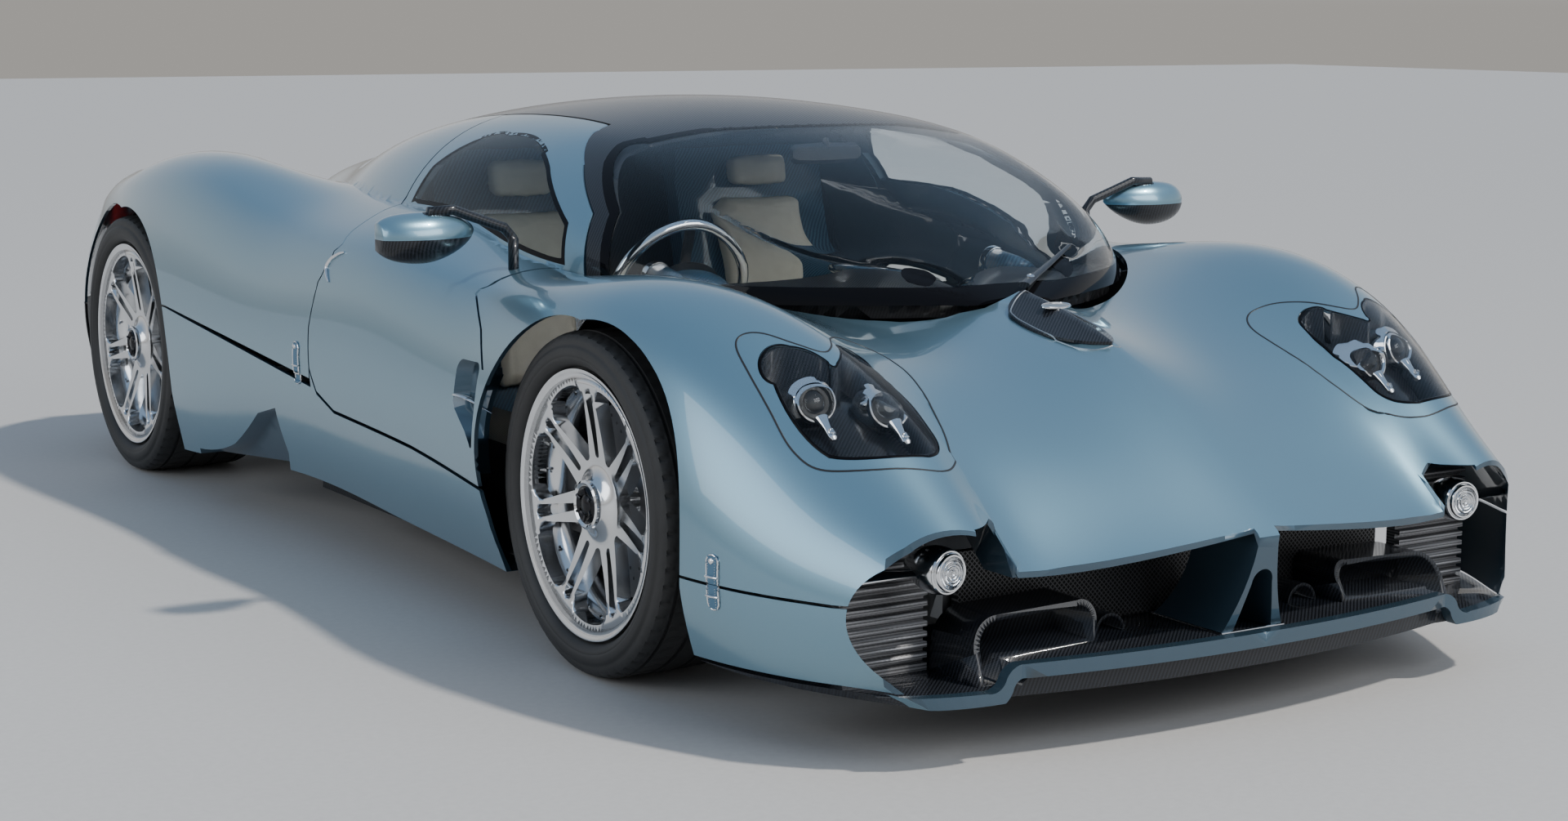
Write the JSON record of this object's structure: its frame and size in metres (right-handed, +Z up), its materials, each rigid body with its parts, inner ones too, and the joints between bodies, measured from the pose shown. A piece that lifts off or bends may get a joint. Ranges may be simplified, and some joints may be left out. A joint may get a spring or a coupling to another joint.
{
  "type": "mid-engined two-seat sports car",
  "caption": "Low two-seat sports car with lifting front and rear body shells, doors that swing out and up, steered front wheels and four turning wheels.",
  "frame": {"origin": "on the ground under the middle of the car", "axes": "nose to -Y, the car's left side to +X, +Z up"},
  "size_m": [2.256, 4.6034, 1.145],
  "materials": {
    "paint_blue": "metallic pale blue, polished",
    "carbon": "lacquered carbon fibre weave",
    "carbon_dull": "dull dark composite",
    "blue_carbon": "blue tinted lacquered weave",
    "glass_clear": "clear glass",
    "glass_dark": "lightly tinted glass",
    "chrome": "polished",
    "rim_metal": "polished",
    "brushed": "brushed",
    "cast_dark": "dark grey",
    "leather_cream": "soft cream",
    "tyre_black": "black rubber",
    "lamp_red": "red lens",
    "alloy_dark": "satin"
  },
  "bodies": {
    "chassis": {"side_panels": "paint_blue", "front_bumper": "paint_blue", "rear_bumper": "carbon_dull", "roof": "carbon", "splitter": "carbon", "tub": "carbon_dull", "windscreen": "glass_clear", "front_frame": "alloy_dark", "rear_frame": "alloy_dark", "engine": "cast_dark", "radiators": "carbon_dull", "exhaust": "chrome", "seats": "blue_carbon", "seat_pads": "leather_cream", "dashboard": "blue_carbon", "dash_ducts": "carbon", "steering_wheel": "chrome", "wiper": "carbon_dull", "suspension": "alloy_dark", "arch_liners": "carbon_dull"},
    "front_clam": {"front_clam": "paint_blue", "headlamp_covers": "glass_clear", "headlamp_bowls": "carbon", "headlamps": "chrome", "badge_plate": "carbon", "fog_lamps": "brushed"},
    "rear_clam": {"rear_clam": "paint_blue", "rear_wing": "paint_blue", "tail_lamps": "lamp_red"},
    "door_left": {"door_left": "paint_blue", "door_glass_left": "glass_dark", "mirror_left": "paint_blue"},
    "door_right": {"door_right": "paint_blue", "door_glass_right": "glass_dark", "mirror_right": "paint_blue"},
    "knuckle_left": {"knuckle_left": "cast_dark"},
    "knuckle_right": {"knuckle_right": "cast_dark"},
    "wheel_front_left": {"tyre_front_left": "tyre_black", "wheel_front_left": "rim_metal"},
    "wheel_front_right": {"tyre_front_right": "tyre_black", "wheel_front_right": "rim_metal"},
    "wheel_rear_left": {"tyre_rear_left": "tyre_black", "wheel_rear_left": "rim_metal"},
    "wheel_rear_right": {"tyre_rear_right": "tyre_black", "wheel_rear_right": "rim_metal"}
  },
  "joints": [
    {"name": "front_clam_lift", "type": "hinge", "parent": "chassis", "child": "front_clam", "pos_m": [0, -2.2645, 0.187], "axis": [1, 0, 0], "range_deg": [0, 50]},
    {"name": "rear_clam_lift", "type": "hinge", "parent": "chassis", "child": "rear_clam", "pos_m": [0, 2.29, 0.462], "axis": [-1, 0, 0], "range_deg": [0, 55]},
    {"name": "door_left_swing", "type": "hinge", "parent": "chassis", "child": "door_left", "pos_m": [0.9027, -0.7224, 0.712], "axis": [0.5154, -0.5284, -0.6747], "range_deg": [0, 60]},
    {"name": "door_right_swing", "type": "hinge", "parent": "chassis", "child": "door_right", "pos_m": [-0.9027, -0.7224, 0.712], "axis": [0.5154, 0.5284, 0.6747], "range_deg": [0, 60]},
    {"name": "steer_left", "type": "hinge", "parent": "chassis", "child": "knuckle_left", "pos_m": [0.7545, -1.27, 0.3594], "axis": [0, 0, 1], "range_deg": [-33, 33]},
    {"name": "steer_right", "type": "hinge", "parent": "chassis", "child": "knuckle_right", "pos_m": [-0.7545, -1.27, 0.3594], "axis": [0, 0, 1], "range_deg": [-33, 33]},
    {"name": "wheel_front_left_spin", "type": "hinge", "parent": "knuckle_left", "child": "wheel_front_left", "pos_m": [0.8, -1.27, 0.3594], "axis": [1, 0, 0], "continuous": true},
    {"name": "wheel_rear_left_spin", "type": "hinge", "parent": "chassis", "child": "wheel_rear_left", "pos_m": [0.8, 1.525, 0.3769], "axis": [1, 0, 0], "continuous": true},
    {"name": "wheel_front_right_spin", "type": "hinge", "parent": "knuckle_right", "child": "wheel_front_right", "pos_m": [-0.8, -1.27, 0.3594], "axis": [1, 0, 0], "continuous": true},
    {"name": "wheel_rear_right_spin", "type": "hinge", "parent": "chassis", "child": "wheel_rear_right", "pos_m": [-0.8, 1.525, 0.3769], "axis": [1, 0, 0], "continuous": true}
  ],
  "couplings": [
    {"joint": "steer_right", "follows": "steer_left", "ratio": 1}
  ]
}
